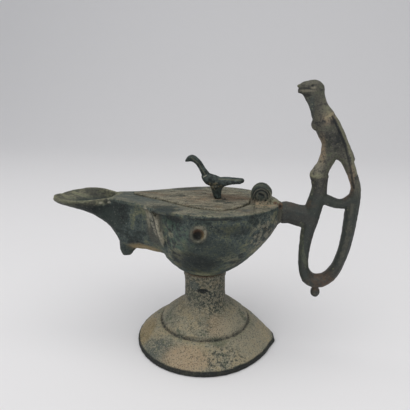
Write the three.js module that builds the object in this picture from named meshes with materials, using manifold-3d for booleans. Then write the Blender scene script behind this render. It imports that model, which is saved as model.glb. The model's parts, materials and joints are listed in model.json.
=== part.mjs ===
// A footed bronze oil lamp with a pear-shaped reservoir, a dished nozzle, a hinged leaf-shaped lid that
// carries a small long-necked bird, and an openwork handle that ends in a perched bird.
// Millimetres, +Z up. The lamp's length runs along X, with the nozzle towards -X and the handle towards +X.
// The lamp is drawn about the axis of its foot, and the exported group is then centred over its own box.
import * as THREE from 'three';
import { mergeVertices } from 'three/addons/utils/BufferGeometryUtils.js';
import Module from 'manifold-3d';

const wasm = await Module();
wasm.setup();

// Driving dimensions
const GAP = 0.3; // between pieces that touch in the real lamp

const FOOT_RADIUS = 46.5;
const FOOT_HEIGHT = 52;
const FOOT_RIM_HEIGHT = 3.4;
const FOOT_RING_RADIUS = 29.6;
const FOOT_RING_Z = 15.2;
const FOOT_RING_STEP = 1.2;
const FOOT_WALL = 3.2;
const STEM_RADIUS = 13.6;
const STEM_FOOT_Z = 30.5;
const STEM_BORE_RADIUS = 9.5;
// Bent and worn stretches of the foot's rim: middle in degrees from the rear, half spread,
// share of the radius
const FOOT_DENTS = [[4, 8, 0.07], [37, 23, -0.07], [-36, 24, -0.028]];

const BOWL_DEPTH = 47.5;
const BOWL_REAR = 48;
const BOWL_LEFT = 27;
const BOWL_HALF_WIDTH = 35.4;
const BOWL_FLOOR_RADIUS = 15.5;
const BOWL_WIDEST_X = 4;
const WALL = 3;

const PLATE_THICKNESS = 2.8;
const PLATE_OVERHANG = 1.8;

const NECK_X = -62;
const NECK_HALF_WIDTH = 9.4;
const NOZZLE_REACH = 105.5;
const NOZZLE_ROOT_X = -18;
const NOZZLE_DEPTH = 37;
const DISH_HALF_WIDTH = 20.2;
const DISH_WALL = 2.2;
const DISH_DROP = 2;
const DISH_TIP_THICKNESS = 5;
const PENDANT_DROP = 7;
const PENDANT_WIDTH = 5.2;

const RIB_PROUD = 1.3;
const RIB_WIDTH = 4.4;
// The moulding's line down the side: place along the lamp, share of the way from the plate to the keel
const RIB_PATH = [[-34.5, 0.05], [-31, 0.18], [-27.5, 0.38], [-25.6, 0.6], [-24, 0.85], [-22, 1.02]];
const BOSS_X = 2;
const BOSS_RADIUS = 4.8;
const BOSS_PROUD = 2.4;
const BOSS_DIMPLE_RADIUS = 3.1;
const BOSS_DIMPLE_DEPTH = 2.2;
const BOSS_DROP = 12.8; // from the top of the plate to the middle of the boss

const LID_HALF_WIDTH = 24.5;
const LID_TIP_X = -50;
const LID_THICKNESS = 2.2;
const LID_PROUD = 0.8;
const LID_SWING = 6; // how far the tip of the lid lies off the lamp's middle line
const LEDGE = 2.4;

const HINGE_X = 35.7;
const LUG_RADIUS = 6.5;
const KNUCKLE_RADIUS = 4.9;
const LEAF_THICKNESS = 2.5;
const PIN_RADIUS = 1.5;
const PIN_HEAD_RADIUS = 2.3;
const PIN_HEAD_HEIGHT = 0.8;

const HANDLE_DEPTH = 9;
const HANDLE_TOP = 73.9; // from the top of the plate to the crown of the perched bird
const HANDLE_DROP = 62.6; // from the top of the plate to the end of the drop under the loop
const HANDLE_REACH = 46.5; // from the back of the bowl to the back of the loop
const ARM_HEIGHT = 13;

const BIRD_X = 8.4;
const BIRD_HEIGHT = 27.4;
const BIRD_POST_RADIUS = 2.3;
const TENON_RADIUS = 1.5;
const RIVET_RADIUS = 2.6;
const RIVET_HEIGHT = 1.2;

// Levels that follow from the sizes above
const BOWL_BOTTOM = FOOT_HEIGHT + GAP;
const RIM_Z = FOOT_HEIGHT + BOWL_DEPTH;
const PLATE_UNDER = RIM_Z - PLATE_THICKNESS;
const LID_TOP = RIM_Z + LID_PROUD;
const LID_UNDER = LID_TOP - LID_THICKNESS;
const HINGE_Z = RIM_Z + GAP + KNUCKLE_RADIUS;
const ARM_FACE_X = BOWL_REAR + 0.8;
const LEAF_PITCH = LEAF_THICKNESS + GAP;
const LID_REAR_X = HINGE_X - LUG_RADIUS - GAP;

// A closed three.js geometry becomes a solid that can be joined and cut
function solid(geometry) {
  const bare = geometry.index ? geometry.toNonIndexed() : geometry.clone();
  bare.deleteAttribute('normal');
  bare.deleteAttribute('uv');
  const merged = mergeVertices(bare, 1e-4);
  return new wasm.Manifold(new wasm.Mesh({
    numProp: 3,
    vertProperties: merged.attributes.position.array,
    triVerts: new Uint32Array(merged.index.array),
  }));
}

function geometryOf(piece) {
  const mesh = piece.simplify(0.07).getMesh();
  const places = new Float32Array(mesh.numVert * 3);
  for (let i = 0; i < mesh.numVert; i++) {
    places.set(mesh.vertProperties.subarray(i * mesh.numProp, i * mesh.numProp + 3), i * 3);
  }
  const geometry = new THREE.BufferGeometry();
  geometry.setAttribute('position', new THREE.BufferAttribute(places, 3));
  geometry.setIndex(new THREE.BufferAttribute(new Uint32Array(mesh.triVerts), 1));
  geometry.computeVertexNormals();
  return geometry;
}

// Joins rings of equal length into one closed skin, with a fan of triangles over each end
function loft(rings) {
  const count = rings[0].length;
  const places = [];
  const faces = [];
  rings.forEach((ring) => ring.forEach((p) => places.push(p.x, p.y, p.z)));
  for (let r = 0; r + 1 < rings.length; r++) {
    for (let i = 0; i < count; i++) {
      const a = r * count + i;
      const b = r * count + ((i + 1) % count);
      faces.push(a, b, b + count, a, b + count, a + count);
    }
  }
  [[0, 1], [rings.length - 1, 0]].forEach(([r, start]) => {
    const centre = new THREE.Vector3();
    rings[r].forEach((p) => centre.addScaledVector(p, 1 / count));
    const hub = places.length / 3;
    places.push(centre.x, centre.y, centre.z);
    for (let i = 0; i < count; i++) {
      const a = r * count + i;
      const b = r * count + ((i + 1) % count);
      faces.push(...(start ? [hub, b, a] : [hub, a, b]));
    }
  });
  const geometry = new THREE.BufferGeometry();
  geometry.setAttribute('position', new THREE.Float32BufferAttribute(places, 3));
  geometry.setIndex(faces);
  const made = solid(geometry);
  if (made.volume() > 0) return made;
  for (let i = 0; i < faces.length; i += 3) [faces[i + 1], faces[i + 2]] = [faces[i + 2], faces[i + 1]];
  geometry.setIndex(faces);
  return solid(geometry);
}

const lerp = THREE.MathUtils.lerp;
const clamp = THREE.MathUtils.clamp;

// A smooth curve through [place, value] pairs, read at any place between the first and the last
function reading(pairs) {
  const tangent = pairs.map((pair, i) => {
    const before = pairs[Math.max(0, i - 1)];
    const after = pairs[Math.min(pairs.length - 1, i + 1)];
    return (after[1] - before[1]) / (after[0] - before[0]);
  });
  return (place) => {
    const at = clamp(place, pairs[0][0], pairs[pairs.length - 1][0]);
    let i = 0;
    while (i < pairs.length - 2 && at > pairs[i + 1][0]) i++;
    const span = pairs[i + 1][0] - pairs[i][0];
    const t = (at - pairs[i][0]) / span;
    const t2 = t * t;
    const t3 = t2 * t;
    return (2 * t3 - 3 * t2 + 1) * pairs[i][1] + (t3 - 2 * t2 + t) * span * tangent[i]
      + (3 * t2 - 2 * t3) * pairs[i + 1][1] + (t3 - t2) * span * tangent[i + 1];
  };
}

// An upright prism over an outline in plan
function prism(outline, low, high) {
  const shape = new THREE.Shape(outline.map(([x, y]) => new THREE.Vector2(x, y)));
  const geometry = new THREE.ExtrudeGeometry(shape, { depth: high - low, bevelEnabled: false });
  geometry.translate(0, 0, low);
  return solid(geometry);
}

// A round bar along Y
function crossBar(x, z, radius, low, high, sides = 18) {
  const geometry = new THREE.CylinderGeometry(radius, radius, high - low, sides);
  geometry.translate(x, (low + high) / 2, z);
  return solid(geometry);
}

// An ellipsoid of the given half sizes
function ellipsoid(x, y, z, halfX, halfY, halfZ, tilt = 0) {
  const geometry = new THREE.SphereGeometry(1, 12, 8);
  geometry.scale(halfX, halfY, halfZ);
  geometry.rotateY(tilt);
  geometry.translate(x, y, z);
  return solid(geometry);
}

// A limb that follows a spine in the lamp's upright middle plane. Each knot gives x, z, the limb's width
// in that plane and its depth across it. The section is a flat-faced bar with bevelled corners,
// or a round one.
function limb(knots, { steps = 24, round = false, sides = 16 } = {}) {
  const points = knots.map(([x, z]) => new THREE.Vector3(x, 0, z));
  const spine = new THREE.CatmullRomCurve3(points, false, 'centripetal');
  const bevel = 0.6;
  const flat = [[1, -1 + bevel], [1, 1 - bevel], [1 - bevel, 1], [-1 + bevel, 1],
    [-1, 1 - bevel], [-1, -1 + bevel], [-1 + bevel, -1], [1 - bevel, -1]];
  const turn = 2 * Math.PI / sides;
  const circle = Array.from({ length: sides }, (_, i) => [Math.cos(turn * i), Math.sin(turn * i)]);
  const corners = round ? circle : flat;
  const rings = [];
  for (let i = 0; i <= steps; i++) {
    const t = i / steps;
    const at = spine.getPoint(t);
    const along = spine.getTangent(t);
    const side = new THREE.Vector3(along.z, 0, -along.x);
    const k = t * (knots.length - 1);
    const j = Math.min(Math.floor(k), knots.length - 2);
    const f = k - j;
    const ease = f * f * (3 - 2 * f);
    const width = lerp(knots[j][2], knots[j + 1][2], ease);
    const depth = lerp(knots[j][3], knots[j + 1][3], ease);
    rings.push(corners.map(([a, b]) => new THREE.Vector3(
      at.x + side.x * a * width / 2, b * depth / 2, at.z + side.z * a * width / 2)));
  }
  return loft(rings);
}

function union(pieces) {
  return pieces.reduce((whole, piece) => whole.add(piece));
}

// Foot: a hollow bell with a wide flange, a stepped ring, a thick stem and a broken stretch of rim
function makeFoot() {
  const arc = (r0, z0, r1, z1, bulge, steps) => Array.from({ length: steps }, (_, i) => {
    const t = (i + 1) / (steps + 1);
    const swell = Math.sin(Math.PI * t) * bulge;
    return [lerp(r0, r1, t) + swell * 0.6, lerp(z0, z1, t) + swell];
  });
  const ringTop = FOOT_RING_Z + FOOT_RING_STEP;
  const neckRadius = STEM_RADIUS + 1.8;
  const outer = [
    [FOOT_RADIUS, 0],
    [FOOT_RADIUS, FOOT_RIM_HEIGHT * 0.7],
    [FOOT_RADIUS - 0.9, FOOT_RIM_HEIGHT],
    ...arc(FOOT_RADIUS - 0.9, FOOT_RIM_HEIGHT, FOOT_RING_RADIUS, FOOT_RING_Z, 0.7, 3),
    [FOOT_RING_RADIUS, FOOT_RING_Z],
    [FOOT_RING_RADIUS - 0.4, ringTop],
    ...arc(FOOT_RING_RADIUS - 0.4, ringTop, neckRadius, STEM_FOOT_Z - 3, 0.8, 3),
    [neckRadius, STEM_FOOT_Z - 3],
    [STEM_RADIUS + 0.5, STEM_FOOT_Z],
    [STEM_RADIUS, STEM_FOOT_Z + 4],
    [STEM_RADIUS, FOOT_HEIGHT - 5.6],
    [STEM_RADIUS + 0.7, FOOT_HEIGHT - 4.6],
    [STEM_RADIUS + 0.7, FOOT_HEIGHT],
    [0, FOOT_HEIGHT],
  ];
  const hollow = [
    [0, FOOT_HEIGHT - FOOT_WALL],
    [STEM_BORE_RADIUS, FOOT_HEIGHT - FOOT_WALL],
    [STEM_BORE_RADIUS, STEM_FOOT_Z - FOOT_WALL],
    [FOOT_RING_RADIUS - FOOT_WALL, FOOT_RING_Z - FOOT_WALL + 1],
    [FOOT_RADIUS - FOOT_WALL, FOOT_RIM_HEIGHT - 0.8],
    [FOOT_RADIUS - FOOT_WALL, 0],
  ];
  const profile = [...outer, ...hollow].map(([r, z]) => new THREE.Vector2(r, z));
  profile.push(profile[0].clone());
  const geometry = new THREE.LatheGeometry(profile, 40);
  geometry.rotateX(Math.PI / 2);
  const places = geometry.attributes.position;
  for (let i = 0; i < places.count; i++) {
    const radius = Math.hypot(places.getX(i), places.getY(i));
    const angle = THREE.MathUtils.radToDeg(Math.atan2(places.getY(i), places.getX(i)));
    const share = clamp((radius - FOOT_RING_RADIUS) / (FOOT_RADIUS - FOOT_RING_RADIUS), 0, 1);
    const bent = FOOT_DENTS.reduce(
      (sum, [at, spread, depth]) => sum + depth * Math.exp(-(((angle - at) / spread) ** 2)), 0);
    places.setX(i, places.getX(i) * (1 + bent * share));
    places.setY(i, places.getY(i) * (1 + bent * share));
  }
  return solid(geometry);
}

// Bowl: level ovals from the stem up to the plate. A share of 0 is the floor and 1 the plate.
const rearSwell = reading([
  [0, 0], [0.08, 0.2], [0.2, 0.41], [0.31, 0.57], [0.42, 0.71],
  [0.52, 0.815], [0.64, 0.92], [0.76, 0.99], [0.88, 1], [1, 1],
]);
const sideSwell = reading([[0, 0], [0.08, 0.22], [0.2, 0.45], [0.4, 0.7], [0.6, 0.87], [0.8, 0.97], [1, 1]]);
const leftSwell = reading([[0, 0], [0.08, 0.5], [0.18, 0.9], [0.28, 1], [1, 1]]);

function bowlSection(z, inset) {
  const share = clamp((z - BOWL_BOTTOM) / (RIM_Z - BOWL_BOTTOM), 0, 1);
  const middle = BOWL_WIDEST_X * share;
  return {
    middle,
    rear: lerp(BOWL_FLOOR_RADIUS, BOWL_REAR, rearSwell(share)) - inset - middle,
    left: lerp(BOWL_FLOOR_RADIUS, BOWL_LEFT, leftSwell(share)) - inset + middle,
    half: lerp(BOWL_FLOOR_RADIUS, BOWL_HALF_WIDTH, sideSwell(share)) - inset,
  };
}

function bowlRings(inset, low, high, levels = 10, sides = 36) {
  return Array.from({ length: levels + 1 }, (_, i) => {
    const z = lerp(low, high, (i / levels) ** 1.2);
    const { middle, rear, left, half } = bowlSection(z - inset * 0.6, inset);
    return Array.from({ length: sides }, (__, k) => {
      const angle = 2 * Math.PI * k / sides;
      const reach = Math.cos(angle) > 0 ? rear : left;
      return new THREE.Vector3(middle + reach * Math.cos(angle), half * Math.sin(angle), z);
    });
  });
}

function bowlSide(x, z) {
  const { middle, rear, left, half } = bowlSection(z, 0);
  const along = (x - middle) / (x > middle ? rear : left);
  return Math.abs(along) < 1 ? half * Math.sqrt(1 - along * along) : 0;
}

// Half width of the plate, of the nozzle at its top, and the nozzle's upper and lower edges, along X
const TIP_X = -NOZZLE_REACH;
const dishAt = (share) => lerp(NECK_X, TIP_X, share);
const plateAt = (share) => lerp(NECK_X, BOWL_WIDEST_X, share);
const PLATE_HALF_WIDTH = BOWL_HALF_WIDTH + PLATE_OVERHANG;
const plateHalfWidth = reading([
  [NECK_X, NECK_HALF_WIDTH + 0.4],
  [plateAt(0.2), PLATE_HALF_WIDTH * 0.36],
  [plateAt(0.4), PLATE_HALF_WIDTH * 0.56],
  [plateAt(0.6), PLATE_HALF_WIDTH * 0.77],
  [plateAt(0.8), PLATE_HALF_WIDTH * 0.93],
  [BOWL_WIDEST_X, PLATE_HALF_WIDTH],
]);
const nozzleHalfWidth = reading([
  [TIP_X, 1.2],
  [dishAt(0.95), DISH_HALF_WIDTH * 0.34],
  [dishAt(0.85), DISH_HALF_WIDTH * 0.64],
  [dishAt(0.68), DISH_HALF_WIDTH * 0.92],
  [dishAt(0.48), DISH_HALF_WIDTH],
  [dishAt(0.28), DISH_HALF_WIDTH * 0.86],
  [dishAt(0.1), DISH_HALF_WIDTH * 0.6],
  [NECK_X, NECK_HALF_WIDTH - 0.4],
  [lerp(NECK_X, NOZZLE_ROOT_X, 0.3), NECK_HALF_WIDTH + 2],
  [lerp(NECK_X, NOZZLE_ROOT_X, 0.6), NECK_HALF_WIDTH + 6.4],
  [lerp(NECK_X, NOZZLE_ROOT_X, 0.85), NECK_HALF_WIDTH + 9.8],
  [NOZZLE_ROOT_X, NECK_HALF_WIDTH + 11],
]);
const nozzleTop = reading([
  [TIP_X, RIM_Z - DISH_DROP],
  [dishAt(0.7), RIM_Z - DISH_DROP * 0.35],
  [NECK_X, RIM_Z],
  [NOZZLE_ROOT_X, RIM_Z],
]);
const keel = RIM_Z - NOZZLE_DEPTH;
const nozzleBottom = reading([
  [TIP_X, RIM_Z - DISH_DROP - DISH_TIP_THICKNESS * 0.4],
  [dishAt(0.92), RIM_Z - 6],
  [dishAt(0.6), RIM_Z - 8.4],
  [dishAt(0.32), RIM_Z - 12.4],
  [dishAt(0.12), RIM_Z - 19],
  [NECK_X + 0.4, RIM_Z - 26.5],
  [NECK_X + 2.4, keel + 5],
  [NECK_X + 6, keel + 0.6],
  [NOZZLE_ROOT_X - 8, keel],
  [NOZZLE_ROOT_X, keel - 2],
]);

// How full the nozzle's section is: round under the dish, square-sided along the neck
const nozzlePower = (x) => lerp(3.4, 1.9, clamp((NECK_X + 4 - x) / (NECK_X - dishAt(0.5)), 0, 1));
const sectionWidth = (x, depth) => Math.max(1 - depth ** nozzlePower(x), 0) ** 0.5;

function nozzleSide(x, z) {
  const depth = (nozzleTop(x) - z) / (nozzleTop(x) - nozzleBottom(x));
  return depth < 1 ? nozzleHalfWidth(x) * sectionWidth(x, Math.max(depth, 0)) : 0;
}

// Nozzle: upright sections along X, rounded below
function nozzleRings(inset, from, to, { steps = 20, raise = 0, cap = Infinity } = {}) {
  const half = 6;
  return Array.from({ length: steps + 1 }, (_, i) => {
    const x = lerp(from, to, i / steps);
    const width = Math.max(nozzleHalfWidth(x) - inset, 0.3);
    const top = Math.min(nozzleTop(x) + raise, cap);
    const bottom = Math.min(nozzleBottom(x) + inset * 1.15, top - 0.4);
    const edge = Array.from({ length: half + 1 }, (__, k) => {
      const depth = Math.sin(Math.PI / 2 * k / half) ** 0.9;
      return [width * sectionWidth(x, depth), lerp(top, bottom, depth)];
    });
    return [
      ...edge.map(([y, z]) => new THREE.Vector3(x, y, z)),
      ...edge.slice(0, -1).reverse().map(([y, z]) => new THREE.Vector3(x, -y, z)),
    ];
  });
}

// The outline of the plate, and of leaf shapes inside it, as points in plan
function plateOutline() {
  const upper = [];
  const lengths = 14;
  for (let i = 0; i < lengths; i++) {
    const x = plateAt(i / lengths);
    upper.push([x, plateHalfWidth(x)]);
  }
  const reach = BOWL_REAR - BOWL_WIDEST_X;
  for (let i = 0; i <= 12; i++) {
    const angle = Math.PI / 2 * (1 - i / 12);
    upper.push([BOWL_WIDEST_X + reach * Math.cos(angle), PLATE_HALF_WIDTH * Math.sin(angle) ** 1.08]);
  }
  const lower = upper.slice(0, -1).reverse().map(([x, y]) => [x, -y]);
  return [...upper, ...lower].reverse();
}

const lidAt = (share) => lerp(LID_TIP_X, LID_REAR_X, share);
const lidHalfWidth = reading([
  [LID_TIP_X, 0],
  [lidAt(0.06), LID_HALF_WIDTH * 0.13],
  [lidAt(0.3), LID_HALF_WIDTH * 0.42],
  [lidAt(0.55), LID_HALF_WIDTH * 0.8],
  [lidAt(0.78), LID_HALF_WIDTH],
  [lidAt(0.89), LID_HALF_WIDTH * 0.84],
  [lidAt(0.965), LID_HALF_WIDTH * 0.5],
  [LID_REAR_X, LID_HALF_WIDTH * 0.24],
]);
const lidMiddle = (x) => LID_SWING * clamp(x / LID_TIP_X, 0, 1) ** 1.2;

function leafOutline(inset) {
  const upper = [];
  const lower = [];
  const steps = 20;
  for (let i = 0; i <= steps; i++) {
    const x = lerp(LID_TIP_X + inset * 2.4, LID_REAR_X - inset, i / steps);
    const half = Math.max(lidHalfWidth(x) - inset, 0.4);
    upper.push([x, lidMiddle(x) + half]);
    lower.push([x, lidMiddle(x) - half]);
  }
  return [...upper, ...lower.reverse()].reverse();
}

// A hinge leaf: a rounded tab that stands on a base level
function hingeLeaf(low, high, base, radius) {
  const disc = crossBar(HINGE_X, HINGE_Z, radius, low, high, 28);
  const block = new THREE.BoxGeometry(radius * 2, high - low, HINGE_Z - base);
  block.translate(HINGE_X, (low + high) / 2, (HINGE_Z + base) / 2);
  return disc.add(solid(block));
}

// A round boss with a dimple on the side of the bowl
function makeBoss(side) {
  const z = RIM_Z - BOSS_DROP;
  const profile = [
    [0, -4], [BOSS_RADIUS + 1, -4], [BOSS_RADIUS + 1, 0], [BOSS_RADIUS, BOSS_PROUD * 0.6],
    [BOSS_RADIUS - 0.7, BOSS_PROUD], [BOSS_DIMPLE_RADIUS, BOSS_PROUD],
    [BOSS_DIMPLE_RADIUS * 0.75, BOSS_PROUD - BOSS_DIMPLE_DEPTH], [0, BOSS_PROUD - BOSS_DIMPLE_DEPTH],
  ].map(([r, h]) => new THREE.Vector2(r, h));
  const geometry = new THREE.LatheGeometry(profile, 14);
  geometry.rotateZ(side > 0 ? 0 : Math.PI);
  geometry.translate(BOSS_X, side * bowlSide(BOSS_X, z), z);
  return solid(geometry);
}

// A half-round moulding down the side, where the nozzle meets the bowl
function makeRib(side) {
  const radius = RIB_WIDTH / 2;
  const path = RIB_PATH.map(([x, share]) => {
    const z = lerp(RIM_Z, keel, share);
    const y = Math.max(nozzleSide(x, z), bowlSide(x, z));
    return new THREE.Vector3(x, side * (y + RIB_PROUD - radius), z);
  });
  const spine = new THREE.CatmullRomCurve3(path, false, 'centripetal');
  const rings = [];
  const steps = 8;
  for (let i = 0; i <= steps; i++) {
    const at = spine.getPoint(i / steps);
    const taper = radius * lerp(1, 0.75, (i / steps) ** 2);
    rings.push(Array.from({ length: 8 }, (_, k) => {
      const angle = 2 * Math.PI * k / 8;
      return new THREE.Vector3(at.x + taper * Math.cos(angle), at.y + taper * Math.sin(angle), at.z);
    }));
  }
  return loft(rings);
}

// Reservoir: bowl, nozzle, plate, hinge tabs and bosses in one casting
function makeReservoir() {
  const pendantX = NECK_X + 6;
  const tipZ = keel - PENDANT_DROP;
  const pendant = limb([
    [pendantX + 0.6, keel + 10, 8, PENDANT_WIDTH],
    [pendantX + 0.5, keel + 3, 10, PENDANT_WIDTH],
    [pendantX + 0.4, keel - 1.5, 9.4, PENDANT_WIDTH],
    [pendantX + 0.1, keel - 4, 7.6, PENDANT_WIDTH * 0.9],
    [pendantX - 0.2, tipZ + 1.2, 4.8, PENDANT_WIDTH * 0.75],
    [pendantX - 0.2, tipZ, 2, PENDANT_WIDTH * 0.4],
  ], { steps: 10, round: true, sides: 10 });
  const pad = new THREE.BoxGeometry(ARM_HEIGHT, HANDLE_DEPTH, ARM_HEIGHT);
  pad.translate(ARM_FACE_X - GAP - ARM_HEIGHT / 2, 0, RIM_Z - ARM_HEIGHT / 2);
  const lugs = [-1, 1].map((side) => {
    const near = side * LEAF_PITCH - LEAF_THICKNESS / 2;
    return hingeLeaf(near, near + LEAF_THICKNESS, RIM_Z - 1, LUG_RADIUS);
  });
  const outer = union([
    loft(bowlRings(0, BOWL_BOTTOM, PLATE_UNDER + 0.5)),
    loft(nozzleRings(0, TIP_X, NOZZLE_ROOT_X)),
    prism(plateOutline(), PLATE_UNDER, RIM_Z),
    pendant,
    solid(pad),
    makeBoss(-1),
    makeBoss(1),
    makeRib(-1),
    makeRib(1),
    ...lugs,
  ]);
  const hollow = union([
    loft(bowlRings(WALL, BOWL_BOTTOM + WALL, PLATE_UNDER, 7, 26)),
    loft(nozzleRings(WALL, NECK_X - 1, NOZZLE_ROOT_X + 8, { cap: PLATE_UNDER, steps: 8 })),
    loft(nozzleRings(DISH_WALL, TIP_X + DISH_WALL * 1.2, NECK_X + 0.2, { raise: 0.02, steps: 11 })),
  ]);
  const opening = prism(leafOutline(LEDGE), BOWL_BOTTOM + BOWL_DEPTH * 0.6, RIM_Z + 1);
  const rebate = prism(leafOutline(-GAP - 0.2), LID_UNDER - GAP, RIM_Z + 1);
  const pinHole = crossBar(HINGE_X, HINGE_Z, PIN_RADIUS + GAP, -3 * LEAF_PITCH, 3 * LEAF_PITCH);
  return outer.subtract(hollow).subtract(opening).subtract(rebate).subtract(pinHole);
}

// Lid: a leaf-shaped plate with a tongue and a knuckle that turns on the pin
function makeLid() {
  const plate = prism(leafOutline(0), LID_UNDER, LID_TOP);
  const knuckle = crossBar(HINGE_X, HINGE_Z, KNUCKLE_RADIUS, -LEAF_THICKNESS / 2, LEAF_THICKNESS / 2, 28);
  const tongue = new THREE.BoxGeometry(HINGE_X - LID_REAR_X + 6, LEAF_THICKNESS, HINGE_Z - LID_UNDER);
  tongue.translate((HINGE_X + LID_REAR_X - 6) / 2, 0, (HINGE_Z + LID_UNDER) / 2);
  const reach = HINGE_Z - LID_TOP;
  const scoop = crossBar(HINGE_X - KNUCKLE_RADIUS - reach, HINGE_Z, reach, -LEAF_THICKNESS, LEAF_THICKNESS);
  const underCut = new THREE.BoxGeometry(KNUCKLE_RADIUS * 3, LEAF_THICKNESS * 2, 4);
  underCut.translate(HINGE_X + 0.6, 0, RIM_Z + GAP - 2);
  const pinHole = crossBar(HINGE_X, HINGE_Z, PIN_RADIUS + GAP, -LEAF_THICKNESS, LEAF_THICKNESS);
  const tenonHole = new THREE.CylinderGeometry(TENON_RADIUS + GAP, TENON_RADIUS + GAP, 8, 16);
  tenonHole.rotateX(Math.PI / 2);
  tenonHole.translate(BIRD_X, 0, LID_TOP);
  return union([plate, solid(tongue).subtract(solid(underCut)).subtract(scoop), knuckle])
    .subtract(pinHole)
    .subtract(solid(tenonHole));
}

// Hinge pin, with a flattened head at each end
function makePin() {
  const half = LEAF_PITCH + LEAF_THICKNESS / 2 + GAP;
  return union([
    crossBar(HINGE_X, HINGE_Z, PIN_RADIUS, -half - 0.1, half + 0.1, 20),
    crossBar(HINGE_X, HINGE_Z, PIN_HEAD_RADIUS, -half - PIN_HEAD_HEIGHT, -half, 20),
    crossBar(HINGE_X, HINGE_Z, PIN_HEAD_RADIUS, half, half + PIN_HEAD_HEIGHT, 20),
  ]);
}

// Bird on the lid: its pose is held in shares of its own height, about the foot of its post
function makeLidBird() {
  const h = BIRD_HEIGHT;
  const foot = LID_TOP + GAP;
  const place = ([x, z, width, depth]) => [BIRD_X + x * h, foot + z * h, width * h, depth * h];
  const postWidth = 2 * BIRD_POST_RADIUS / h;
  const post = limb([
    [0, 0, postWidth, postWidth], [0, 0.12, postWidth * 0.95, postWidth],
    [-0.01, 0.25, 0.26, 0.18], [-0.02, 0.38, 0.38, 0.22],
  ].map(place), { steps: 7, round: true, sides: 10 });
  const body = limb([
    [-0.34, 0.55, 0.12, 0.12], [-0.3, 0.49, 0.22, 0.18], [-0.2, 0.43, 0.3, 0.24],
    [-0.05, 0.385, 0.29, 0.24],
    [0.12, 0.365, 0.22, 0.21], [0.34, 0.376, 0.18, 0.18], [0.5, 0.385, 0.175, 0.17],
    [0.545, 0.388, 0.11, 0.11],
  ].map(place), { steps: 12, round: true, sides: 10 });
  const neck = limb([
    [-0.24, 0.46, 0.2, 0.16], [-0.29, 0.545, 0.195, 0.15], [-0.35, 0.635, 0.165, 0.14],
    [-0.405, 0.73, 0.15, 0.13],
    [-0.475, 0.83, 0.155, 0.13], [-0.59, 0.9, 0.16, 0.14], [-0.71, 0.872, 0.11, 0.1],
    [-0.775, 0.83, 0.04, 0.05],
  ].map(place), { steps: 15, round: true, sides: 8 });
  const tenonLow = LID_UNDER - GAP - RIVET_HEIGHT;
  const tenon = new THREE.CylinderGeometry(TENON_RADIUS, TENON_RADIUS, foot + 1 - tenonLow, 16);
  tenon.rotateX(Math.PI / 2);
  tenon.translate(BIRD_X, 0, (foot + 1 + tenonLow) / 2);
  const rivet = new THREE.CylinderGeometry(RIVET_RADIUS, RIVET_RADIUS, RIVET_HEIGHT, 16);
  rivet.rotateX(Math.PI / 2);
  rivet.translate(BIRD_X, 0, tenonLow + RIVET_HEIGHT / 2);
  return union([post, body, neck, solid(tenon), solid(rivet)]);
}

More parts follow.
